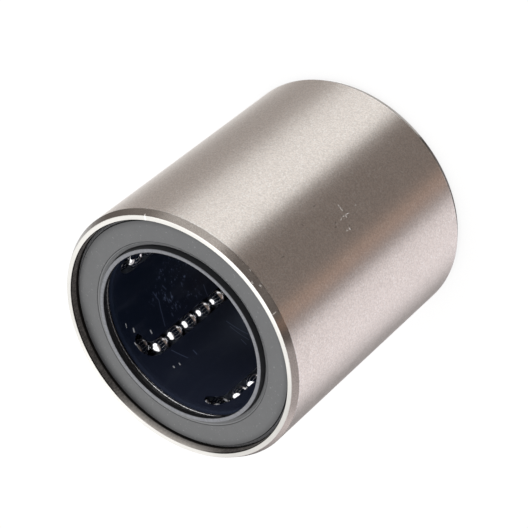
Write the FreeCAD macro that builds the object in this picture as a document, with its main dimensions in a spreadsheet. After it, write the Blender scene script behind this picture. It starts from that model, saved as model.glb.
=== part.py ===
import FreeCAD, Part
import math
import os
import Sketcher

# A closed linear ball bearing for a 30 mm shaft, in millimetres. It stands on one end with its axis on Z.
# Each ball circuit is a flat racetrack in a plane square to the radius of its loaded row. A circuit is drawn
# at +Y, with its loaded row at x = 0 and its return lane on the +X side, and is then turned about Z.

doc = FreeCAD.newDocument("linear_bearing")

# Driving dimensions. Depths are measured from the end of the sleeve.
driving_dimensions = {
    "shaft_diameter": 30,
    "sleeve_diameter": 45,
    "sleeve_length": 50,
    "bevel_width": 0.65,
    "bevel_height": 1.2,
    "bevel_round": 0.2,
    "seat_diameter": 42,
    "seat_depth": 3.05,
    "mouth_bevel": 0.15,
    "relief_diameter": 40.2,
    "ramp_height": 0.6,
    "ball_diameter": 3.969,
    "ball_pitch": 4,
    "balls_per_row": 8,
    "balls_per_turn": 2,
    "circuit_count": 6,
    "row_1_phase": 3.2,
    "row_2_phase": 2.65,
    "row_3_phase": 1.4,
    "row_4_phase": 0.5,
    "row_5_phase": 2,
    "row_6_phase": 2.95,
    "shaft_gap": 0.01,
    "raceway_gap": 0.03,
    "track_gap": 0.1,
    "cage_bore": 30.8,
    "cage_diameter": 37.8,
    "cage_bevel": 0.4,
    "cage_play": 0.1,
    "ring_diameter": 41.9,
    "ring_bore": 31.2,
    "ring_thickness": 0.45,
    "ring_round": 0.15,
    "seal_diameter": 41.96,
    "seal_face_depth": 1.25,
    "seal_bevel": 0.68,
    "seal_back_bore": 31.5,
    "groove_mouth_diameter": 33.26,
    "groove_floor_diameter": 31.5,
    "groove_depth": 1.86,
    "lip_depth": 0.65,
    "lip_width": 0.65,
    "lip_land": 0.8,
    "lip_round": 0.12,
}
dimensions = doc.addObject("Spreadsheet::Sheet", "dimensions")
for line, (alias, number) in enumerate(driving_dimensions.items(), start=1):
    dimensions.set(f"A{line}", alias)
    dimensions.set(f"B{line}", str(number))
    dimensions.setAlias(f"B{line}", alias)

# Places that follow from them. The turn radius sets the balls of a half turn one pitch apart.
derived_places = {
    "shaft_radius": "dimensions.shaft_diameter / 2",
    "sleeve_radius": "dimensions.sleeve_diameter / 2",
    "middle": "dimensions.sleeve_length / 2",
    "seat_radius": "dimensions.seat_diameter / 2",
    "relief_radius": "dimensions.relief_diameter / 2",
    "ball_radius": "dimensions.ball_diameter / 2",
    "load_radius": "shaft_radius + dimensions.shaft_gap + ball_radius",
    "raceway_radius": "load_radius + ball_radius + dimensions.raceway_gap",
    "track_radius": "ball_radius + dimensions.track_gap",
    "turn_step": "180 / dimensions.balls_per_turn",
    "turn_radius": "dimensions.ball_pitch / 2 / sin(turn_step / 2 * 1 deg)",
    "return_offset": "2 * turn_radius",
    "row_length": "dimensions.balls_per_row * dimensions.ball_pitch",
    "lower_turn": "middle - row_length / 2",
    "upper_turn": "middle + row_length / 2",
    "cage_bottom": "dimensions.seat_depth",
    "cage_top": "dimensions.sleeve_length - dimensions.seat_depth - dimensions.cage_play",
    "seal_back": "dimensions.seat_depth - dimensions.ring_thickness",
    "lip_outside": "shaft_radius + dimensions.lip_width",
}
places = doc.addObject("Spreadsheet::Sheet", "places")
for line, (alias, formula) in enumerate(derived_places.items(), start=1):
    places.set(f"A{line}", alias)
    places.set(f"B{line}", f"={formula}")
    places.setAlias(f"B{line}", alias)
doc.recompute()


def size(expression):
    return float(places.evalExpression(expression))


def origin_feature(body, role):
    return next(feature for feature in body.Origin.OriginFeatures if feature.Role == role)


def new_body(label):
    body = doc.addObject("PartDesign::Body", label)
    body.Label = label
    return body


def new_sketch(body, name, plane):
    sketch = body.newObject("Sketcher::SketchObject", name)
    sketch.AttachmentSupport = [(origin_feature(body, plane), "")]
    sketch.MapMode = "FlatFace"
    return sketch


def bind(sketch, name, expression, kind, *elements):
    index = sketch.addConstraint(Sketcher.Constraint(kind, *elements, size(expression)))
    sketch.renameConstraint(index, name)
    sketch.setExpression(f"Constraints.{name}", expression)


def place_point(sketch, name, element, end, across, up):
    bind(sketch, f"{name}_across", across, "DistanceX", -1, 1, element, end)
    bind(sketch, f"{name}_up", up, "DistanceY", -1, 1, element, end)


# A closed outline through named corners, each given by two expressions
def add_outline(sketch, corners):
    points = [FreeCAD.Vector(size(across), size(up), 0) for across, up in corners.values()]
    ends = points[1:] + points[:1]
    lines = [sketch.addGeometry(Part.LineSegment(a, b)) for a, b in zip(points, ends)]
    for line, following in zip(lines, lines[1:] + lines[:1]):
        sketch.addConstraint(Sketcher.Constraint("Coincident", line, 2, following, 1))
    for line, (name, (across, up)) in zip(lines, corners.items()):
        place_point(sketch, name, line, 1, across, up)


# A racetrack round both turn centres, at a given distance from the line that joins them
def add_racetrack(sketch, name, distance):
    centre, reach = size("places.turn_radius"), size(distance)
    low, high = size("places.lower_turn"), size("places.upper_turn")
    near, far = centre - reach, centre + reach
    rise = sketch.addGeometry(Part.LineSegment(FreeCAD.Vector(near, low, 0), FreeCAD.Vector(near, high, 0)))
    over = Part.Circle(FreeCAD.Vector(centre, high, 0), FreeCAD.Vector(0, 0, 1), reach)
    top = sketch.addGeometry(Part.ArcOfCircle(over, 0, math.pi))
    fall = sketch.addGeometry(Part.LineSegment(FreeCAD.Vector(far, high, 0), FreeCAD.Vector(far, low, 0)))
    under = Part.Circle(FreeCAD.Vector(centre, low, 0), FreeCAD.Vector(0, 0, 1), reach)
    bottom = sketch.addGeometry(Part.ArcOfCircle(under, math.pi, 2 * math.pi))
    joins = ((rise, 2, top, 2), (top, 1, fall, 1), (fall, 2, bottom, 2), (bottom, 1, rise, 1))
    for join in joins:
        sketch.addConstraint(Sketcher.Constraint("Tangent", *join))
    sketch.addConstraint(Sketcher.Constraint("Equal", top, bottom))
    place_point(sketch, f"{name}_top", top, 3, "places.turn_radius", "places.upper_turn")
    place_point(sketch, f"{name}_bottom", bottom, 3, "places.turn_radius", "places.lower_turn")
    bind(sketch, f"{name}_reach", distance, "Radius", top)


def add_circle(sketch, name, across, up, radius):
    centre = FreeCAD.Vector(size(across), size(up), 0)
    circle = sketch.addGeometry(Part.Circle(centre, FreeCAD.Vector(0, 0, 1), size(radius)))
    place_point(sketch, name, circle, 3, across, up)
    bind(sketch, f"{name}_radius", radius, "Radius", circle)


# Turns a half section, drawn with the radius across and the height up, about the axis
def revolve(body, corners):
    sketch = new_sketch(body, "half_section", "XZ_Plane")
    add_outline(sketch, corners)
    turned = body.newObject("PartDesign::Revolution", "turned")
    turned.Profile = sketch
    turned.ReferenceAxis = (sketch, ["V_Axis"])
    turned.Angle = 360
    doc.recompute()
    return turned


# Rounds the circular edges of a feature that have the given radii
def round_edges(body, feature, radii, rounding):
    wanted = [size(radius) for radius in radii]
    names = []
    for number, edge in enumerate(feature.Shape.Edges, start=1):
        circular = isinstance(edge.Curve, Part.Circle)
        if circular and min(abs(edge.Curve.Radius - radius) for radius in wanted) < 1e-6:
            names.append(f"Edge{number}")
    fillet = body.newObject("PartDesign::Fillet", "rounded")
    fillet.Base = (feature, names)
    fillet.setExpression("Radius", rounding)
    doc.recompute()
    return fillet


# Repeats cuts once for every circuit. Each cut must have taken something away.
def repeat_round_axis(body, cuts, uncut):
    doc.recompute()
    left = uncut.Shape.Volume
    for cut in cuts:
        assert cut.Shape.Volume < left, f"{cut.Name} of {body.Label} cut nothing"
        left = cut.Shape.Volume
    pattern = body.newObject("PartDesign::PolarPattern", "round_axis")
    pattern.Originals = cuts
    pattern.Axis = (origin_feature(body, "Z_Axis"), [""])
    pattern.Angle = 360
    pattern.setExpression("Occurrences", "dimensions.circuit_count")
    body.Tip = pattern
    doc.recompute()
    taken = (uncut.Shape.Volume - pattern.Shape.Volume) / (uncut.Shape.Volume - left)
    assert round(taken, 3) == size("dimensions.circuit_count"), f"{body.Label} has {taken:.3f} cuts"


# The sleeve: bevelled outside, with a seat for ring and seal at each end, a raceway band that the loaded
# balls roll on, relieved bores where the balls turn, and a broached groove along each return lane
def make_sleeve():
    body = new_body("outer_sleeve")
    mouth = "places.seat_radius + dimensions.mouth_bevel"
    bevel = "places.sleeve_radius - dimensions.bevel_width"
    length = "dimensions.sleeve_length"
    lower = {
        "mouth": (mouth, "0"),
        "end_edge": (bevel, "0"),
        "bevel_edge": ("places.sleeve_radius", "dimensions.bevel_height"),
    }
    inside = {
        "seat_edge": ("places.seat_radius", "dimensions.mouth_bevel"),
        "seat_corner": ("places.seat_radius", "dimensions.seat_depth"),
        "shoulder": ("places.relief_radius", "dimensions.seat_depth"),
        "ramp_foot": ("places.relief_radius", "places.lower_turn - dimensions.ramp_height"),
        "raceway_end": ("places.raceway_radius", "places.lower_turn"),
    }
    outside_up = {f"upper_{name}": (r, f"{length} - ({z})") for name, (r, z) in reversed(lower.items())}
    inside_down = {f"upper_{name}": (r, f"{length} - ({z})") for name, (r, z) in inside.items()}
    inside_out = dict(reversed(inside.items()))
    turned = revolve(body, lower | outside_up | inside_down | inside_out)
    rounded = round_edges(body, turned, (bevel, "places.sleeve_radius"), "dimensions.bevel_round")
    sketch = new_sketch(body, "return_groove_section", "XY_Plane")
    add_circle(sketch, "groove", "places.return_offset", "places.load_radius", "places.track_radius")
    groove = body.newObject("PartDesign::Pocket", "return_groove")
    groove.Profile = sketch
    groove.Type = "ThroughAll"
    groove.Reversed = True
    repeat_round_axis(body, [groove], rounded)
    return body


# The cage: a moulded tube with six racetracks. Each track has a round floor, which breaks into the bore along
# the loaded row and part of the turns, and straight walls that open outward, where the balls go in.
def make_cage():
    body = new_body("ball_cage")
    bore, outside, bevel = "dimensions.cage_bore / 2", "dimensions.cage_diameter / 2", "dimensions.cage_bevel"
    corners = {
        "bottom_bore": (f"{bore} + {bevel}", "places.cage_bottom"),
        "bottom_outside": (f"{outside} - {bevel}", "places.cage_bottom"),
        "outside_bottom": (outside, f"places.cage_bottom + {bevel}"),
        "outside_top": (outside, f"places.cage_top - {bevel}"),
        "top_outside": (f"{outside} - {bevel}", "places.cage_top"),
        "top_bore": (f"{bore} + {bevel}", "places.cage_top"),
        "bore_top": (bore, f"places.cage_top - {bevel}"),
        "bore_bottom": (bore, f"places.cage_bottom + {bevel}"),
    }
    turned = revolve(body, corners)
    walls = new_sketch(body, "track_walls", "XZ_Plane")
    walls.setExpression("AttachmentOffset.Base.z", "-places.load_radius")
    add_racetrack(walls, "outer", "places.turn_radius + places.track_radius")
    add_racetrack(walls, "inner", "places.turn_radius - places.track_radius")
    slot = body.newObject("PartDesign::Pocket", "track_slot")
    slot.Profile = walls
    slot.Type = "ThroughAll"
    path = new_sketch(body, "track_path", "XZ_Plane")
    path.setExpression("AttachmentOffset.Base.z", "-places.load_radius")
    add_racetrack(path, "path", "places.turn_radius")
    section = new_sketch(body, "track_section", "XY_Plane")
    section.setExpression("AttachmentOffset.Base.z", "places.lower_turn")
    add_circle(section, "track", "0", "places.load_radius", "places.track_radius")
    floor = body.newObject("PartDesign::SubtractivePipe", "track_floor")
    floor.Profile = section
    floor.Spine = path
    repeat_round_axis(body, [slot, floor], turned)
    return body


# A seal, drawn from the bottom end of the sleeve with its depth up: a flat face with a bevelled rim, a groove
# that frees the lip, and a lip that stands nearer the end and touches the shaft along its land
def make_seal(label):
    body = new_body(label)
    rim, land = "dimensions.seal_diameter / 2", "dimensions.lip_depth + dimensions.lip_land"
    corners = {
        "lip_inside": ("places.shaft_radius", "dimensions.lip_depth"),
        "lip_outside": ("places.lip_outside", "dimensions.lip_depth"),
        "groove_floor": ("dimensions.groove_floor_diameter / 2", "dimensions.groove_depth"),
        "groove_mouth": ("dimensions.groove_mouth_diameter / 2", "dimensions.seal_face_depth"),
        "face_edge": (f"{rim} - dimensions.seal_bevel", "dimensions.seal_face_depth"),
        "rim_edge": (rim, "dimensions.seal_face_depth + dimensions.seal_bevel"),
        "rim_back": (rim, "places.seal_back"),
        "back_bore": ("dimensions.seal_back_bore / 2", "places.seal_back"),
        "land_end": ("places.shaft_radius", land),
    }
    turned = revolve(body, corners)
    lip_edges = ("places.shaft_radius", "places.lip_outside")
    body.Tip = round_edges(body, turned, lip_edges, "dimensions.lip_round")
    return body


# A flat steel ring between the shoulder of its seat and the seal, which keeps the cage in place. The edges of
# its bore are rounded.
def make_end_ring(label):
    body = new_body(label)
    sketch = new_sketch(body, "ring_outline", "XY_Plane")
    sketch.setExpression("AttachmentOffset.Base.z", "places.seal_back")
    add_circle(sketch, "outside", "0", "0", "dimensions.ring_diameter / 2")
    add_circle(sketch, "bore", "0", "0", "dimensions.ring_bore / 2")
    pad = body.newObject("PartDesign::Pad", "ring")
    pad.Profile = sketch
    pad.setExpression("Length", "dimensions.ring_thickness")
    doc.recompute()
    body.Tip = round_edges(body, pad, ("dimensions.ring_bore / 2",), "dimensions.ring_round")
    return body


# Turns a piece drawn at the bottom end over to the top end
def move_to_top(body):
    body.Placement = FreeCAD.Placement(FreeCAD.Vector(), FreeCAD.Rotation(FreeCAD.Vector(1, 0, 0), 180))
    body.setExpression("Placement.Base.z", "dimensions.sleeve_length")
    return body


def make_ball(name, across, up):
    ball = doc.addObject("Part::Sphere", name)
    ball.setExpression("Radius", "places.ball_radius")
    ball.setExpression("Placement.Base.x", across)
    ball.setExpression("Placement.Base.y", "places.load_radius")
    ball.setExpression("Placement.Base.z", up)
    return ball


def group_balls(label, balls, turn):
    group = doc.addObject("Part::Compound", label)
    group.Label = label
    group.Links = balls
    group.Placement = FreeCAD.Placement(FreeCAD.Vector(), turn)
    return group


# One circuit of balls in the order in which they travel: up the loaded row, over the top turn, down the
# return lane and round the bottom turn. At rest each ball has gone its row's phase past the start of its
# place. The phase is less than a pitch and differs from row to row, since the circuits run freely.
def make_circuit(number):
    turn = FreeCAD.Rotation(FreeCAD.Vector(0, 0, 1), 360 * (number - 1) / size("dimensions.circuit_count"))
    row = range(int(size("dimensions.balls_per_row")))
    half_turn = range(int(size("dimensions.balls_per_turn")))
    phase = f"dimensions.row_{number}_phase"
    ahead = [f"{phase} + {step} * dimensions.ball_pitch" for step in row]
    swung = [f"(({phase} / dimensions.ball_pitch + {step}) * places.turn_step * 1 deg)" for step in half_turn]
    turn_x, turn_r = "places.turn_radius", "places.turn_radius"
    routes = {
        "loaded": [("0", f"places.lower_turn + {way}") for way in ahead],
        "top_turn": [
            (f"{turn_x} - {turn_r} * cos{angle}", f"places.upper_turn + {turn_r} * sin{angle}")
            for angle in swung
        ],
        "return": [("places.return_offset", f"places.upper_turn - ({way})") for way in ahead],
        "bottom_turn": [
            (f"{turn_x} + {turn_r} * cos{angle}", f"places.lower_turn - {turn_r} * sin{angle}")
            for angle in swung
        ],
    }
    groups = []
    for route, stations in routes.items():
        label = f"row_{number}_{route}_balls"
        balls = [make_ball(f"{label}_ball", across, up) for across, up in stations]
        groups.append(group_balls(label, balls, turn))
    return groups


def write_parts(pieces):
    doc.recompute()
    failed = [item.Name for item in doc.Objects if {"Invalid", "Error"} & set(item.State)]
    assert not failed, f"failed: {failed}"
    for piece in pieces:
        assert not piece.Shape.isNull() and piece.Shape.isValid(), f"{piece.Label} has no valid shape"
    os.makedirs("parts", exist_ok=True)
    for piece in pieces:
        piece.Shape.exportStep(f"parts/{piece.Label}.step")
        print(f"{piece.Label}: {len(piece.Shape.Solids)} solid(s), {piece.Shape.Volume:.1f} mm3")


pieces = [
    make_sleeve(),
    make_cage(),
    make_seal("bottom_seal"),
    move_to_top(make_seal("top_seal")),
    make_end_ring("bottom_end_ring"),
    move_to_top(make_end_ring("top_end_ring")),
]
for circuit in range(1, int(size("dimensions.circuit_count")) + 1):
    pieces += make_circuit(circuit)
write_parts(pieces)
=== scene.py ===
import math

import bmesh
import bpy
from mathutils import Matrix, Vector


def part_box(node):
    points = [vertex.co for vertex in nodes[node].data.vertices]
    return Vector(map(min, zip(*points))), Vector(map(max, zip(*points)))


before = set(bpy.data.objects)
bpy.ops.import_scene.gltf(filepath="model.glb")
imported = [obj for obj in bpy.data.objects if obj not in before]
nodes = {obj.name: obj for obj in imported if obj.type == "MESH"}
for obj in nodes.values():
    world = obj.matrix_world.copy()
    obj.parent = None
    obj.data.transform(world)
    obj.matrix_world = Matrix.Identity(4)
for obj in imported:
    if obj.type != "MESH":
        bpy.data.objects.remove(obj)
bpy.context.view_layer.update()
scene = bpy.context.scene
scene.view_settings.view_transform = "Standard"
mm = 0.001
noiseMiddle = 0.5
markCore = 0.4  # share of a mark's half width that is full
sleeveLow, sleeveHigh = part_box("outer_sleeve")
sleeveLength = sleeveHigh.z - sleeveLow.z
sleeveRadius = (sleeveHigh.x - sleeveLow.x) / 2
print("frame loaded,", len(nodes), "CAD nodes")


# a node socket that takes part in sums
class Wire:
    def __init__(self, finish, socket):
        self.finish = finish
        self.socket = socket

    def math(self, operation, first, second=0.0):
        return self.finish.node("ShaderNodeMath", {"operation": operation}, {0: first, 1: second})

    def __add__(self, other):
        return self.math("ADD", self, other)

    def __radd__(self, other):
        return self.math("ADD", other, self)

    def __sub__(self, other):
        return self.math("SUBTRACT", self, other)

    def __rsub__(self, other):
        return self.math("SUBTRACT", other, self)

    def __mul__(self, other):
        return self.math("MULTIPLY", self, other)

    def __rmul__(self, other):
        return self.math("MULTIPLY", other, self)

    def __truediv__(self, other):
        return self.math("DIVIDE", self, other)

    def __pow__(self, other):
        return self.math("POWER", self, other)

    def __abs__(self):
        return self.math("ABSOLUTE", self)


# a node tree with one way to add nodes
class Finish:
    def __init__(self, tree):
        self.tree = tree
        tree.nodes.clear()

    def add(self, kind, settings=None, sockets=None):
        made = self.tree.nodes.new(kind)
        for name, value in (settings or {}).items():
            setattr(made, name, value)
        for name, value in (sockets or {}).items():
            self.feed(made.inputs[name], value)
        return made

    # the same, as one output of the new node
    def node(self, kind, settings=None, sockets=None, output=0):
        return Wire(self, self.add(kind, settings, sockets).outputs[output])

    def feed(self, socket, value):
        if isinstance(value, Wire):
            self.tree.links.new(value.socket, socket)
        else:
            socket.default_value = value

    def axes(self, vector):
        apart = self.add("ShaderNodeSeparateXYZ", None, {0: vector})
        return [Wire(self, output) for output in apart.outputs]

    # 0 below low, 1 above high, smooth between
    def rise(self, value, low, high):
        return self.node("ShaderNodeMapRange", {"interpolation_type": "SMOOTHSTEP"},
                         {"Value": value, "From Min": low, "From Max": high})

    # the same, with its middle at an edge
    def past(self, value, edge, soft):
        return self.rise(value, edge - soft, edge + soft)

    # 1 between low and high, with soft edges
    def band(self, value, low, high, soft):
        return self.past(value, low, soft) * (1 - self.past(value, high, soft))

    def mix(self, share, first, second):
        return self.node("ShaderNodeMix", {"data_type": "RGBA"}, {0: share, 6: first, 7: second}, output=2)

    def noise(self, place, size, detail=2.0, roughness=0.5):
        return self.node("ShaderNodeTexNoise", None,
                         {"Vector": place, "Scale": 1 / size, "Detail": detail, "Roughness": roughness})

    # 0 to 1 where a noise rises through a range
    def specks(self, place, look):
        cloud = self.noise(place, look["size"], look.get("detail", 2.0), look.get("roughness", 0.5))
        return self.rise(cloud, *look["rise"])

    def vector(self, x, y, z):
        return self.node("ShaderNodeCombineXYZ", None, {0: x, 1: y, 2: z})

    def bump(self, height, distance):
        return self.node("ShaderNodeBump", None, {"Height": height, "Strength": 1.0, "Distance": distance})


# a Principled finish that knows where it is on the bearing
class Material(Finish):
    def __init__(self, name):
        self.material = bpy.data.materials.new(name)
        self.material.use_nodes = True
        super().__init__(self.material.node_tree)
        self.shader = self.add("ShaderNodeBsdfPrincipled")
        self.add("ShaderNodeOutputMaterial", None, {"Surface": Wire(self, self.shader.outputs[0])})
        self.place = self.node("ShaderNodeTexCoord", output=3)
        self.x, self.y, self.z = self.axes(self.place)
        self.radius = (self.x * self.x + self.y * self.y) ** 0.5
        self.angle = self.x.math("ARCTAN2", self.y, self.x)
        self.depth = sleeveLength / 2 - abs(self.z - sleeveLength / 2)  # from the nearer end of the sleeve

    # the surface rolled out flat, with a stretch round the axis, out from it and along it
    def rolled(self, reach, around=1.0, outward=1.0, along=1.0):
        return self.vector(self.angle * (reach / around), self.radius / outward, self.z / along)

    # two shades of one colour, shared out by a value from 0 to 1
    def shades(self, share, colour, dark, pale):
        return self.mix(share, tone(colour, dark), tone(colour, pale))

    # 1 on short straight marks, each with its middle, length and width, in degrees and millimetres,
    # and its lean from the axis, or from the radius where that is given as the height
    def marks(self, reach, marks, height=None):
        total = 0.0
        for mark in marks:
            lean = math.radians(mark["lean"])
            aside = (self.angle - math.radians(mark["azimuth"])) * reach
            up = (height or self.z) - mark["height"] * mm
            along = abs(aside * math.sin(lean) + up * math.cos(lean))
            across = abs(aside * math.cos(lean) - up * math.sin(lean))
            half = mark["length"] * mm / 2
            width = mark["width"] * mm / 2
            within = 1 - self.rise(along, half - width, half)
            total = total + within * (1 - self.rise(across, width * markCore, width))
        return total

    # 1 on the side towards an azimuth in degrees, by the cosine of the angle from it
    def side(self, look):
        turn = self.angle - math.radians(look["azimuth"])
        return self.rise(turn.math("COSINE", turn), *look["rise"])

    def surface(self, **sockets):
        for name, value in sockets.items():
            self.feed(self.shader.inputs[name.replace("_", " ")], value)

    def dress(self, *names):
        for name in names:
            mesh = nodes[name].data
            mesh.materials.clear()
            mesh.materials.append(self.material)


def tone(colour, level):
    return tuple(channel * level for channel in colour[:3]) + (1,)


# ground steel outside, darker turned steel on the bevels and in the seats, bright lapped ends
sleeveFinish = {
    "ground": (0.77, 0.715, 0.67, 1),
    "groundShades": (0.89, 1.075),
    "grain": {"size": 0.20 * mm, "streak": 1.2, "detail": 1.0, "rise": (0.34, 0.66)},
    "bright": (0.96, 0.95, 0.93, 1),
    "sparkle": {"size": 0.24 * mm, "detail": 0.0, "rise": (0.60, 0.70), "share": 0.5},
    "scratchGaps": {"size": 0.36 * mm, "rise": (0.30, 0.46), "least": 0.3, "more": 0.7},
    "scratchShare": 0.9,
    "gouge": (0.38, 0.34, 0.31, 1),
    "gougeShare": 0.7,
    "bevel": (0.33, 0.30, 0.275, 1),
    "bevelShades": (0.7, 1.3),
    "bevelEdge": (1.24 * mm, 1.33 * mm),  # depths between which the bevel's finish ends
    "rubbedAndLit": {"azimuth": 170, "rise": (0.72, 0.87), "shades": (1.1, 1.8)},  # painted light: this side of the bevel is painted brighter
    "shadedSide": {"azimuth": 8, "rise": (0.80, 0.97), "shades": (0.45, 0.85)},  # painted shade: this side of the bevel is painted darker
    "wornBand": {"low": 1.20 * mm, "high": 1.36 * mm, "soft": 0.05 * mm},
    "wornAndGlint": {"size": 0.45 * mm, "rise": (0.45, 0.68), "least": 0.35, "more": 0.55},
    "end": (0.74, 0.725, 0.69, 1),
    "endShades": (0.84, 1.16),
    "endEdge": (0.02 * mm, 0.12 * mm),
    "dullAndShaded": {"azimuth": -172, "rise": (0.74, 0.94), "shades": (0.67, 0.93)},  # painted shade: this side of the end face is painted darker
    "turning": {"size": 0.16 * mm, "streak": 14.0, "patch": 7.0 * mm},
    "seat": (0.095, 0.089, 0.085, 1),
    "seatPale": (0.20, 0.185, 0.173, 1),
    "seatEdge": (21.06 * mm, 21.12 * mm),
    "strokes": {"size": 0.24 * mm, "stretch": 2.0, "rise": (0.35, 0.75)},
    "seatLit": (0.66, 0.62, 0.58, 1),
    "litSide": {"azimuth": 124, "rise": (0.82, 0.98), "shades": (0.8, 1.2)},  # painted light: this side of the seat wall is painted paler
    "litDepth": {"upper": (0.1 * mm, 1.25 * mm), "deepShare": 0.31, "upperShare": 0.52},
    # painted shade, partly oil, deep in the corner of the seat
    "seatCorner": (0.012, 0.011, 0.010, 1),
    "cornerEdge": (1.15 * mm, 1.40 * mm),
    "raceway": (0.38, 0.40, 0.44, 1),
    "racewayEdge": (3.5 * mm, 4.0 * mm),
    # painted shade round the mouth of the seat
    "mouthBand": {"low": 20.97 * mm, "high": 21.12 * mm, "soft": 0.02 * mm},
    "mouth": {"fade": (0.16 * mm, 0.24 * mm), "share": 0.92, "lightened": 0.8},
    "roughness": 0.31,
    "cloud": {"size": 2.4 * mm, "reach": 0.06},
    "scratchRoughness": 0.35,
    "bevelRoughness": 0.22,
    "seatRoughness": 0.80,
    "anisotropy": 0.93,
    "acrossGrain": 0.25,
    "lift": {"size": 0.15 * mm, "detail": 0.0, "cut": 0.5, "height": 0.006 * mm},
    "scratches": [
        {"azimuth": -88.3, "height": 25.8, "length": 1.4, "lean": -86, "width": 0.16},
        {"azimuth": -91.6, "height": 26.4, "length": 0.4, "lean": 30, "width": 0.30},
        {"azimuth": -92.3, "height": 25.9, "length": 0.6, "lean": 81, "width": 0.26},
        {"azimuth": -91.9, "height": 25.4, "length": 0.8, "lean": 7, "width": 0.22},
        {"azimuth": -92.0, "height": 27.2, "length": 0.5, "lean": -43, "width": 0.26},
        {"azimuth": -92.4, "height": 28.5, "length": 0.7, "lean": -7, "width": 0.14},
        {"azimuth": -97.1, "height": 26.8, "length": 0.7, "lean": 88, "width": 0.36},
        {"azimuth": -97.0, "height": 27.5, "length": 0.4, "lean": -46, "width": 0.30},
        {"azimuth": -91.4, "height": 22.7, "length": 0.5, "lean": -7, "width": 0.24},
    ],
    "nicks": [
        {"azimuth": -103.6, "height": 49.55, "length": 0.8, "lean": -9, "width": 0.32},
        {"azimuth": -91.6, "height": 49.13, "length": 0.55, "lean": -101, "width": 0.30},
        {"azimuth": -88.6, "height": 49.75, "length": 0.6, "lean": -87, "width": 0.26},
        {"azimuth": -84.4, "height": 48.85, "length": 0.5, "lean": -95, "width": 0.28},
        {"azimuth": -33.2, "height": 49.85, "length": 0.7, "lean": -32, "width": 0.40},
    ],
    "gouges": [
        {"azimuth": -91.2, "height": 26.6, "length": 0.4, "lean": -65, "width": 0.28},
        {"azimuth": -92.7, "height": 25.6, "length": 0.4, "lean": 90, "width": 0.28},
        {"azimuth": -91.6, "height": 28.6, "length": 0.6, "lean": -12, "width": 0.26},
        {"azimuth": -93.0, "height": 29.2, "length": 0.6, "lean": 7, "width": 0.24},
        {"azimuth": -97.6, "height": 26.5, "length": 0.5, "lean": 65, "width": 0.30},
        {"azimuth": -96.2, "height": 26.5, "length": 0.4, "lean": -81, "width": 0.26},
        {"azimuth": -81.1, "height": 29.8, "length": 0.8, "lean": -4, "width": 0.22},
        {"azimuth": -83.8, "height": 34.5, "length": 0.7, "lean": 77, "width": 0.20},
        {"azimuth": -88.6, "height": 42.0, "length": 0.8, "lean": 5, "width": 0.22},
    ],
}


def groundColour(steel, grain, scratch, gouge):
    look = sleeveFinish
    colour = steel.shades(steel.rise(grain, *look["grain"]["rise"]), look["ground"], *look["groundShades"])
    sparkle = steel.specks(steel.place, look["sparkle"])
    colour = steel.mix(sparkle * look["sparkle"]["share"], colour, look["bright"])
    colour = steel.mix(gouge * look["gougeShare"], colour, look["gouge"])
    return steel.mix(scratch * look["scratchShare"], colour, look["bright"])


def bevelColour(steel, grain):
    look = sleeveFinish
    colour = steel.shades(grain, look["bevel"], *look["bevelShades"])
    # painted light on one side of the bevel, painted shade on the other
    for place in (look["rubbedAndLit"], look["shadedSide"]):
        colour = steel.mix(steel.side(place), colour, steel.shades(grain, look["bevel"], *place["shades"]))
    return colour


def endColour(steel):
    look = sleeveFinish
    turning = look["turning"]
    turned = steel.noise(steel.rolled(sleeveRadius, around=turning["streak"]), turning["size"])
    patch = (turned + steel.noise(steel.place, turning["patch"])) / 2
    colour = steel.shades(patch, look["end"], *look["endShades"])
    # painted shade: one side of the end face is painted darker
    dullAndShaded = look["dullAndShaded"]
    return steel.mix(steel.side(dullAndShaded), colour, steel.shades(patch, look["end"], *dullAndShaded["shades"]))


def seatColour(steel, onLitSide):
    look = sleeveFinish
    stroke = look["strokes"]
    strokes = steel.noise(steel.rolled(sleeveRadius, along=stroke["stretch"]), stroke["size"])
    colour = steel.mix(steel.rise(strokes, *stroke["rise"]), look["seat"], look["seatPale"])
    # painted light: the seat wall is painted paler on one side, most near the mouth
    depths = look["litDepth"]
    upper = 1 - steel.rise(steel.depth, *depths["upper"])
    lightened = steel.shades(strokes, look["seatLit"], *look["litSide"]["shades"])
    colour = steel.mix(onLitSide * (depths["deepShare"] + upper * depths["upperShare"]), colour, lightened)
    # painted shade, partly oil: the seat wall is near black deep in the corner under the seal
    colour = steel.mix(steel.rise(steel.depth, *look["cornerEdge"]), colour, look["seatCorner"])
    return steel.mix(steel.rise(steel.depth, *look["racewayEdge"]), colour, look["raceway"])


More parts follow.
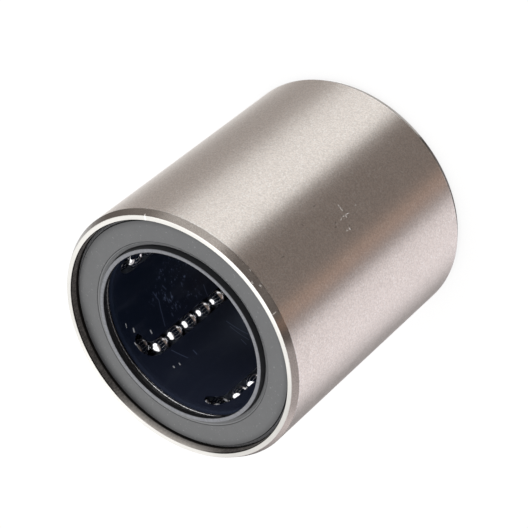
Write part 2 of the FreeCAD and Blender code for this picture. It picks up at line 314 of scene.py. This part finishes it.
def dressSleeve():
    steel = Material("groundSteel")
    look = sleeveFinish
    grain = steel.noise(steel.rolled(sleeveRadius, around=look["grain"]["streak"]), look["grain"]["size"],
                        look["grain"]["detail"])
    gaps = look["scratchGaps"]
    broken = gaps["least"] + steel.specks(steel.place, gaps) * gaps["more"]
    scratch = steel.marks(sleeveRadius, look["scratches"]) * broken
    gouge = steel.marks(sleeveRadius, look["gouges"])
    onBevel = 1 - steel.rise(steel.depth, *look["bevelEdge"])
    onEnd = 1 - steel.rise(steel.depth, *look["endEdge"])
    # the side of the seat that is painted paler as painted light
    inSeat = 1 - steel.rise(steel.radius, *look["seatEdge"])
    onLitSide = steel.side(look["litSide"])
    colour = groundColour(steel, grain, scratch, gouge)
    colour = steel.mix(onBevel, colour, bevelColour(steel, grain))
    colour = steel.mix(onEnd, colour, endColour(steel))
    # the edge between bevel and cylinder is painted bright, partly wear and partly a painted highlight
    wornAndGlint = look["wornAndGlint"]
    rubbedAndLit = wornAndGlint["least"] + steel.specks(steel.rolled(sleeveRadius), wornAndGlint) * wornAndGlint["more"]
    colour = steel.mix(steel.band(steel.depth, **look["wornBand"]) * rubbedAndLit, colour, look["bright"])
    colour = steel.mix(steel.marks(sleeveRadius, look["nicks"]), colour, look["bright"])
    colour = steel.mix(inSeat, colour, seatColour(steel, onLitSide))
    # painted shade: a dark line round the mouth of the seat, left off on the lit side
    mouth = look["mouth"]
    atMouth = steel.band(steel.radius, **look["mouthBand"]) * (1 - steel.rise(steel.depth, *mouth["fade"]))
    colour = steel.mix(atMouth * (mouth["share"] - onLitSide * mouth["lightened"]), colour, look["seatCorner"])
    cloud = steel.noise(steel.place, look["cloud"]["size"]) - noiseMiddle
    bare = onBevel * (1 - onEnd) * (1 - inSeat)
    rough = look["roughness"] + cloud * look["cloud"]["reach"] + scratch * look["scratchRoughness"] \
        + inSeat * (look["seatRoughness"] - look["roughness"]) \
        + bare * (look["bevelRoughness"] - look["roughness"])
    lift = look["lift"]
    fine = steel.noise(steel.rolled(sleeveRadius), lift["size"], lift["detail"])
    height = fine - (scratch + gouge) * lift["cut"]
    steel.surface(Base_Color=colour, Metallic=1.0, Roughness=rough,
                  Anisotropic=look["anisotropy"], Anisotropic_Rotation=look["acrossGrain"],
                  Normal=steel.bump(height, lift["height"]))
    steel.dress("outer_sleeve")


# grey rubber with a paler lip; painted shade blackens the groove round the lip and the rubber behind it
sealFinish = {
    "face": (0.090, 0.0915, 0.0935, 1),
    "faceShades": (0.86, 1.14),
    "mottle": {"size": 1.7 * mm, "detail": 3.0},
    "dustAndLight": (0.26, 0.26, 0.27, 1),
    "dusty": {"size": 0.4 * mm, "detail": 1.0, "rise": (0.66, 0.76), "share": 0.35},
    "hollow": (0.006, 0.0065, 0.008, 1),
    "faceEdge": (15.78 * mm, 16.00 * mm),  # radii between which the painted shade of the groove ends
    "shadowSide": {"azimuth": 85, "rise": (0.70, 0.98)},  # painted shadow: the seat wall's shadow falls on this side of the seal
    "rimShade": {"width": 1.0 * mm, "share": 0.35, "less": 0.15},  # painted shade all round the rim, less on the side with the painted shadow
    # the wider painted shadow on that side
    "rimShadow": {"width": 2.4 * mm, "share": 0.76},
    # painted light on the slope into the groove
    "slopeEdge": (16.50 * mm, 16.60 * mm),
    "slopeShades": (1.8, 2.2),
    "lines": [{"radius": 16.68 * mm, "share": 0.8}, {"radius": 16.36 * mm, "share": 0.3}],
    "lineWidth": 0.13 * mm,
    "lineSoft": 0.02 * mm,
    "rim": 20.28 * mm,
    # painted shade at the seal's outer edge, and a band beyond it painted paler as painted light
    "rimEdge": (20.26 * mm, 20.33 * mm),
    "rimShare": 0.95,
    "beyondEdge": (20.41 * mm, 20.51 * mm),
    "beyondShare": 0.7,
    "dentShare": 0.7,
    "lip": (0.145, 0.149, 0.162, 1),
    "lipShades": (0.6, 1.4),
    "lipReach": 15.66 * mm,
    "lipEdge": (15.63 * mm, 15.68 * mm),
    "lipDepth": (0.74 * mm, 0.80 * mm),
    "hatch": {"size": 0.3 * mm, "stretch": 4.0},
    "pores": 0.18 * mm,
    "lift": 0.012 * mm,
    "roughness": 0.5,
    "roughnessReach": 0.2,
    "dents": [
        {"azimuth": 62.0, "height": 20.0, "length": 0.8, "lean": 35, "width": 0.24},
        {"azimuth": 58.0, "height": 19.8, "length": 0.6, "lean": -50, "width": 0.22},
        {"azimuth": 20.0, "height": 20.1, "length": 0.6, "lean": 20, "width": 0.22},
    ],
}


def dressSeals():
    rubber = Material("sealRubber")
    look = sealFinish
    mottle = rubber.noise(rubber.place, look["mottle"]["size"], look["mottle"]["detail"])
    colour = rubber.shades(mottle, look["face"], *look["faceShades"])
    dustAndLight = rubber.specks(rubber.place, look["dusty"])
    colour = rubber.mix(dustAndLight * look["dusty"]["share"], colour, look["dustAndLight"])
    # painted shade near the rim, and a wider painted shadow on one side
    shadowSide = rubber.side(look["shadowSide"])
    rimShade = look["rimShade"]
    rimShadow = look["rimShadow"]
    rimShading = rubber.rise(rubber.radius, look["rim"] - rimShade["width"], look["rim"]) \
        * (rimShade["share"] - shadowSide * rimShade["less"]) \
        + rubber.rise(rubber.radius, look["rim"] - rimShadow["width"], look["rim"]) * shadowSide * rimShadow["share"]
    colour = rubber.mix(rimShading, colour, look["hollow"])
    # painted light: the slope into the groove is painted paler than the face
    onSlope = 1 - rubber.rise(rubber.radius, *look["slopeEdge"])
    colour = rubber.mix(onSlope, colour, rubber.shades(mottle, look["face"], *look["slopeShades"]))
    # painted shade: the groove and the rubber behind the lip are painted near black
    colour = rubber.mix(rubber.rise(rubber.radius, *look["faceEdge"]), look["hollow"], colour)
    for line in look["lines"]:
        inner = line["radius"] - look["lineWidth"]
        onLine = rubber.band(rubber.radius, inner, line["radius"], look["lineSoft"])
        colour = rubber.mix(onLine * line["share"], colour, look["hollow"])
    # painted shade: the seal's outer edge, down in the corner, is painted near black; beyond it a band is
    # painted paler as painted light, except on the shadowed side
    rim = rubber.rise(rubber.radius, *look["rimEdge"])
    beyond = rubber.rise(rubber.radius, *look["beyondEdge"]) * (1 - shadowSide)
    colour = rubber.mix(rim * look["rimShare"], colour, look["hollow"])
    colour = rubber.mix(beyond * look["beyondShare"], colour, look["dustAndLight"])
    dent = rubber.marks(look["rim"], look["dents"], rubber.radius)
    colour = rubber.mix(dent * look["dentShare"], colour, look["hollow"])
    onLip = (1 - rubber.rise(rubber.radius, *look["lipEdge"])) \
        * (1 - rubber.rise(rubber.depth, *look["lipDepth"]))
    stretch = look["hatch"]["stretch"]
    flat = rubber.rolled(look["lipReach"], outward=stretch, along=stretch)
    hatch = rubber.noise(flat, look["hatch"]["size"])
    colour = rubber.mix(onLip, colour, rubber.shades(hatch, look["lip"], *look["lipShades"]))
    pores = rubber.noise(rubber.place, look["pores"])
    rubber.surface(Base_Color=colour,
                   Roughness=look["roughness"] + (mottle - noiseMiddle) * look["roughnessReach"],
                   Normal=rubber.bump(pores + hatch * onLip, look["lift"]))
    rubber.dress("top_seal", "bottom_seal")


# near black moulded plastic with traces of grease in the bore; painted light makes one side of the bore and
# the lanes paler
cageFinish = {
    "plastic": (0.0062, 0.0098, 0.0225, 1),
    "litBore": (0.0165, 0.0205, 0.038, 1),
    "litBoreSide": {"azimuth": 135, "rise": (0.45, 0.98)},  # painted light: side where the bore is painted paler
    "smear": (0.022, 0.027, 0.045, 1),
    "smeared": {"size": 2.2 * mm, "detail": 3.0, "stretch": 3.0, "rise": (0.5, 0.75)},
    "smearShare": 0.7,
    "smearDull": 0.1,
    # painted light for the lane walls, which lie in shade
    "laneLight": (0.22, 0.245, 0.30, 1),
    # beads of grease, their whitish colour partly a painted glint
    "greaseAndGlint": (0.62, 0.64, 0.68, 1),
    "greaseRoughness": 0.12,
    "scuff": (0.36, 0.46, 0.76, 1),
    "scratchShare": 0.15,
    "scuffed": {"azimuth": 66, "height": 31.5 * mm, "reach": (2.55 * mm, 8.5 * mm)},
    "flecks": {"size": 0.5 * mm, "detail": 3.0, "roughness": 0.7, "streak": 1.5, "rise": (0.55, 0.70)},
    "fleckShares": {"least": 0.012, "more": 0.34},
    "clumps": {"size": 2.2 * mm, "detail": 1.0, "rise": (0.42, 0.60)},
    "bore": 15.4 * mm,
    "boreEdge": (15.45 * mm, 15.55 * mm),
    "endEdge": (3.9 * mm, 4.2 * mm),
    "endDull": 0.6,
    "roughness": 0.34,
    "specular": 0.30,
    "tint": (0.55, 0.72, 1.0, 1),
    "mould": {"size": 0.35 * mm, "share": 0.15},
    "lift": 0.06 * mm,
    "beads": [
        {"azimuth": 72.2, "height": 43.8, "length": 1.0, "lean": 77, "width": 0.40},
        {"azimuth": 80.0, "height": 40.7, "length": 0.9, "lean": 83, "width": 0.36},
        {"azimuth": 85.7, "height": 42.7, "length": 0.7, "lean": 79, "width": 0.34},
        {"azimuth": 79.4, "height": 44.9, "length": 0.6, "lean": 90, "width": 0.32},
        {"azimuth": 66.7, "height": 44.9, "length": 0.9, "lean": 80, "width": 0.24},
        {"azimuth": 105.6, "height": 41.7, "length": 0.6, "lean": 70, "width": 0.36},
        {"azimuth": 106.6, "height": 40.4, "length": 0.6, "lean": 70, "width": 0.30},
    ],
    "scratches": [
        {"azimuth": 63.6, "height": 36.4, "length": 2.3, "lean": 108, "width": 0.26},
        {"azimuth": 71.2, "height": 36.4, "length": 2.2, "lean": 72, "width": 0.26},
        {"azimuth": 79.0, "height": 37.1, "length": 2.5, "lean": 68, "width": 0.24},
        {"azimuth": 101.9, "height": 38.9, "length": 3.2, "lean": 115, "width": 0.24},
        {"azimuth": 107.2, "height": 36.3, "length": 1.2, "lean": 81, "width": 0.30},
        {"azimuth": 113.1, "height": 26.2, "length": 4.6, "lean": 98, "width": 0.26},
        {"azimuth": 116.7, "height": 26.9, "length": 4.3, "lean": 89, "width": 0.22},
        {"azimuth": 123.1, "height": 28.0, "length": 1.7, "lean": 72, "width": 0.26},
        {"azimuth": 62.6, "height": 33.9, "length": 1.4, "lean": 118, "width": 0.34},
        {"azimuth": 70.2, "height": 33.1, "length": 1.6, "lean": 76, "width": 0.34},
        {"azimuth": 71.1, "height": 34.2, "length": 1.2, "lean": 92, "width": 0.34},
        {"azimuth": 81.4, "height": 25.7, "length": 2.2, "lean": 74, "width": 0.26},
        {"azimuth": 68.5, "height": 29.9, "length": 1.0, "lean": 82, "width": 0.28},
    ],
}


# 1 in the middle of the scuffed patch of the bore, fading to its edge
def scuffedPatch(plastic):
    patch = cageFinish["scuffed"]
    aside = (plastic.angle - math.radians(patch["azimuth"])) * cageFinish["bore"]
    up = plastic.z - patch["height"]
    return 1 - plastic.rise((aside * aside + up * up) ** 0.5, *patch["reach"])


def dressCage():
    plastic = Material("cagePlastic")
    look = cageFinish
    inBore = 1 - plastic.rise(plastic.radius, *look["boreEdge"])
    atEnd = 1 - plastic.rise(plastic.depth, *look["endEdge"])
    # painted light: one side of the bore is painted paler
    colour = plastic.mix(plastic.side(look["litBoreSide"]), look["plastic"], look["litBore"])
    smeared = look["smeared"]
    smear = plastic.specks(plastic.rolled(look["bore"], along=smeared["stretch"]), smeared)
    colour = plastic.mix(smear * look["smearShare"], colour, look["smear"])
    scratch = plastic.marks(look["bore"], look["scratches"])
    colour = plastic.mix(scratch * inBore * look["scratchShare"], colour, look["scuff"])
    flecks = plastic.specks(plastic.rolled(look["bore"], around=look["flecks"]["streak"]), look["flecks"])
    clumps = plastic.specks(plastic.place, look["clumps"])
    shares = look["fleckShares"]
    shown = shares["least"] + scuffedPatch(plastic) * clumps * shares["more"]
    colour = plastic.mix(flecks * inBore * shown, colour, look["scuff"])
    # beads of grease, their whitish colour partly a painted glint
    beads = plastic.marks(look["bore"], look["beads"]) * inBore
    colour = plastic.mix(beads, colour, look["greaseAndGlint"])
    # painted light: the lane walls, deep in shade, are painted much paler
    colour = plastic.mix((1 - inBore) * (1 - atEnd), colour, look["laneLight"])
    rough = look["roughness"] + (smear - noiseMiddle) * look["smearDull"] + atEnd * look["endDull"] \
        + beads * (look["greaseRoughness"] - look["roughness"])
    mould = plastic.noise(plastic.place, look["mould"]["size"]) * look["mould"]["share"]
    plastic.surface(Base_Color=colour, Roughness=rough,
                    Specular_IOR_Level=look["specular"], Specular_Tint=look["tint"],
                    Normal=plastic.bump(mould + beads, look["lift"]))
    plastic.dress("ball_cage")


# polished balls under a thin film of oil; the balls in the turns are darker, partly from grease and partly
# as painted shade
ballFinish = {
    "steel": (0.80, 0.80, 0.815, 1),
    "greasyAndShaded": (0.24, 0.245, 0.26, 1),
    "shades": (0.88, 1.1),
    "oil": {"size": 1.3 * mm, "dullAndShaded": 0.05},
    "scuff": {"size": 0.25 * mm, "rise": (0.6, 0.75), "dullAndShaded": 0.06},
    "roughness": 0.11,
}


def dressBalls():
    look = ballFinish
    balls = [name for name in nodes if name.endswith("_balls")]
    # the balls in the turns are painted darker, partly grease and partly painted shade
    turns = [name for name in balls if "_turn_" in name]
    groups = {"steel": [name for name in balls if name not in turns], "greasyAndShaded": turns}
    for shade, names in groups.items():
        chrome = Material(shade + "Balls")
        oil = chrome.noise(chrome.place, look["oil"]["size"])
        scuff = chrome.specks(chrome.place, look["scuff"])
        rough = look["roughness"] + oil * look["oil"]["dullAndShaded"] + scuff * look["scuff"]["dullAndShaded"]
        colour = chrome.shades(oil, look[shade], *look["shades"])
        chrome.surface(Base_Color=colour, Metallic=1.0, Roughness=rough)
        chrome.dress(*names)


# stamped rings, darkened, with marks of the turning tool and a painted highlight on one side
ringFinish = {
    "steel": (0.11, 0.11, 0.115, 1),
    "shades": (0.75, 1.25),
    "turning": {"reach": 15.6 * mm, "size": 0.14 * mm, "streak": 12.0, "dullAndShaded": 0.1, "height": 0.006 * mm},
    "wornAndGlint": (0.80, 0.80, 0.82, 1),
    # painted highlight on the side that faces the strongest light
    "glintSide": {"azimuth": 124, "rise": (0.80, 0.96)},
    "beaded": {"size": 0.6 * mm, "rise": (0.35, 0.6), "least": 0.35, "more": 0.65},
    "roughness": 0.22,
}


def dressRings():
    ring = Material("ringSteel")
    look = ringFinish
    turning = look["turning"]
    turned = ring.noise(ring.rolled(turning["reach"], around=turning["streak"]), turning["size"])
    beaded = look["beaded"]
    shown = beaded["least"] + ring.specks(ring.place, beaded) * beaded["more"]
    dark = ring.shades(turned, look["steel"], *look["shades"])
    # painted highlight: the rings are painted bright on one side
    ring.surface(Base_Color=ring.mix(ring.side(look["glintSide"]) * shown, dark, look["wornAndGlint"]), Metallic=1.0,
                 Roughness=look["roughness"] + turned * turning["dullAndShaded"],
                 Normal=ring.bump(turned, turning["height"]))
    ring.dress("top_end_ring", "bottom_end_ring")


dressSleeve()
dressSeals()
dressCage()
dressBalls()
dressRings()
print("finishes made")

# the photograph's camera: beside and above the upper end, rolled so that the axis runs to the lower left
camera = {
    "azimuth": 3.4,
    "reach": 266.9 * mm,
    "height": 270.4 * mm,
    "aim": 25.27 * mm,
    "roll": -129.8,
    "lens": 150.0,
    "clipStart": 10.0 * mm,
    "shift": (-0.0021, 0.0019),
}


def placeCamera():
    turn = math.radians(camera["azimuth"])
    outward = Vector((math.sin(turn), -math.cos(turn), 0))
    spot = outward * camera["reach"] + Vector((0, 0, camera["height"]))
    sight = Vector((0, 0, camera["aim"])) - spot
    lens = bpy.data.cameras.new("camera")
    lens.lens = camera["lens"]
    lens.shift_x, lens.shift_y = camera["shift"]
    lens.clip_start = camera["clipStart"]
    holder = bpy.data.objects.new("camera", lens)
    scene.collection.objects.link(holder)
    facing = sight.to_track_quat("-Z", "Y").to_matrix().to_4x4()
    roll = Matrix.Rotation(math.radians(camera["roll"]), 4, "Z")
    holder.matrix_world = Matrix.Translation(spot) @ facing @ roll
    scene.camera = holder


placeCamera()

# what stands round the object: each wall starts at an azimuth in degrees from the camera's side
studio = {
    "walls": [
        {"name": "broad box", "start": -180, "soft": 1, "colour": (1.08, 1.02, 1.06, 1)},
        {"name": "end of the box", "start": -86, "soft": 14, "colour": (0.92, 0.865, 0.895, 1)},
        {"name": "gap", "start": -57, "soft": 6, "colour": (0.08, 0.045, 0.03, 1)},
        {"name": "warm card", "start": -45, "soft": 2, "colour": (0.42, 0.25, 0.165, 1)},
        {"name": "room", "start": -36, "soft": 3, "colour": (0.128, 0.095, 0.077, 1)},
        {"name": "window", "start": 28, "soft": 6, "colour": (1.0, 0.99, 0.98, 1)},
        {"name": "fill", "start": 80, "soft": 12, "colour": (0.365, 0.33, 0.31, 1)},
        {"name": "back", "start": 141, "soft": 14, "colour": (1.15, 1.15, 1.15, 1)},
    ],
    "upper": [
        {"name": "back card", "start": -180, "soft": 1, "colour": (1.3, 1.3, 1.3, 1)},
        {"name": "dark side", "start": -110, "soft": 15, "colour": (0.25, 0.23, 0.22, 1)},
        {"name": "window lamp", "start": 20, "soft": 10, "colour": (2.4, 2.4, 2.4, 1)},
        {"name": "back card", "start": 100, "soft": 12, "colour": (1.3, 1.3, 1.3, 1)},
    ],
    "horizon": (0.28, 0.45),
    "curtain": {"level": 0.05, "end": -124, "soft": 14, "low": -0.40, "high": -0.30},
    "ceiling": {"level": 1.6, "side": 95, "soft": 15, "low": 0.48, "high": 0.60},
    "lamp": {"level": 3.0, "low": 0.92, "high": 0.96},
    "backdropInMetal": 0.05,  # share of the white backdrop that shows in metal
    "floor": {"reach": 2.0, "colour": (0.9, 0.9, 0.9, 1), "white": 0.85},
}


def grey(level):
    return (level, level, level, 1)


def lightStudio():
    world = bpy.data.worlds.new("studio")
    scene.world = world
    world.use_nodes = True
    sky = Finish(world.node_tree)
    x, y, z = sky.axes(sky.node("ShaderNodeTexCoord", output=0))
    turn = math.radians(camera["azimuth"])
    ahead = x * math.sin(turn) - y * math.cos(turn)
    aside = x * math.cos(turn) + y * math.sin(turn)
    azimuth = x.math("ARCTAN2", aside, ahead) * (180 / math.pi)
    rows = []
    for row in (studio["walls"], studio["upper"]):
        level = row[0]["colour"]
        for wall in row[1:]:
            level = sky.mix(sky.past(azimuth, wall["start"], wall["soft"]), level, wall["colour"])
        rows.append(level)
    level = sky.mix(sky.rise(z, *studio["horizon"]), *rows)
    curtain = studio["curtain"]
    hung = (1 - sky.past(azimuth, curtain["end"], curtain["soft"])) \
        * (1 - sky.rise(z, curtain["low"], curtain["high"]))
    level = sky.mix(hung, level, grey(curtain["level"]))
    ceiling = studio["ceiling"]
    overhead = sky.rise(z, ceiling["low"], ceiling["high"]) \
        * (1 - sky.past(abs(azimuth), ceiling["side"], ceiling["soft"]))
    level = sky.mix(overhead, level, grey(ceiling["level"]))
    lamp = studio["lamp"]
    level = sky.mix(sky.rise(z, lamp["low"], lamp["high"]), level, grey(lamp["level"]))
    colour = sky.mix(backdrop(sky), level, grey(1))
    back = sky.node("ShaderNodeBackground", None, {"Color": colour, "Strength": 1.0})
    sky.add("ShaderNodeOutputWorld", None, {"Surface": back})


# 1 for rays that see the white backdrop, and a share of it for reflections
def backdrop(finish):
    path = finish.add("ShaderNodeLightPath")
    direct, glossy, through = [Wire(finish, path.outputs[f"Is {kind} Ray"])
                               for kind in ("Camera", "Glossy", "Transmission")]
    return direct + through + glossy * studio["backdropInMetal"]


lightStudio()


def layFloor():
    look = studio["floor"]
    mesh = bpy.data.meshes.new("floor")
    plane = bmesh.new()
    bmesh.ops.create_grid(plane, x_segments=1, y_segments=1, size=look["reach"])
    plane.to_mesh(mesh)
    plane.free()
    floor = bpy.data.objects.new("floor", mesh)
    scene.collection.objects.link(floor)
    floor.visible_glossy = False
    material = bpy.data.materials.new("floor")
    material.use_nodes = True
    pale = Finish(material.node_tree)
    lit = pale.node("ShaderNodeBsdfDiffuse", None, {"Color": look["colour"]})
    white = pale.node("ShaderNodeEmission", None, {"Color": grey(1), "Strength": 1.0})
    mixed = pale.node("ShaderNodeMixShader", None, {0: backdrop(pale) * look["white"], 1: lit, 2: white})
    pale.add("ShaderNodeOutputMaterial", None, {"Surface": mixed})
    mesh.materials.append(material)


layFloor()
print("camera, studio and floor placed")
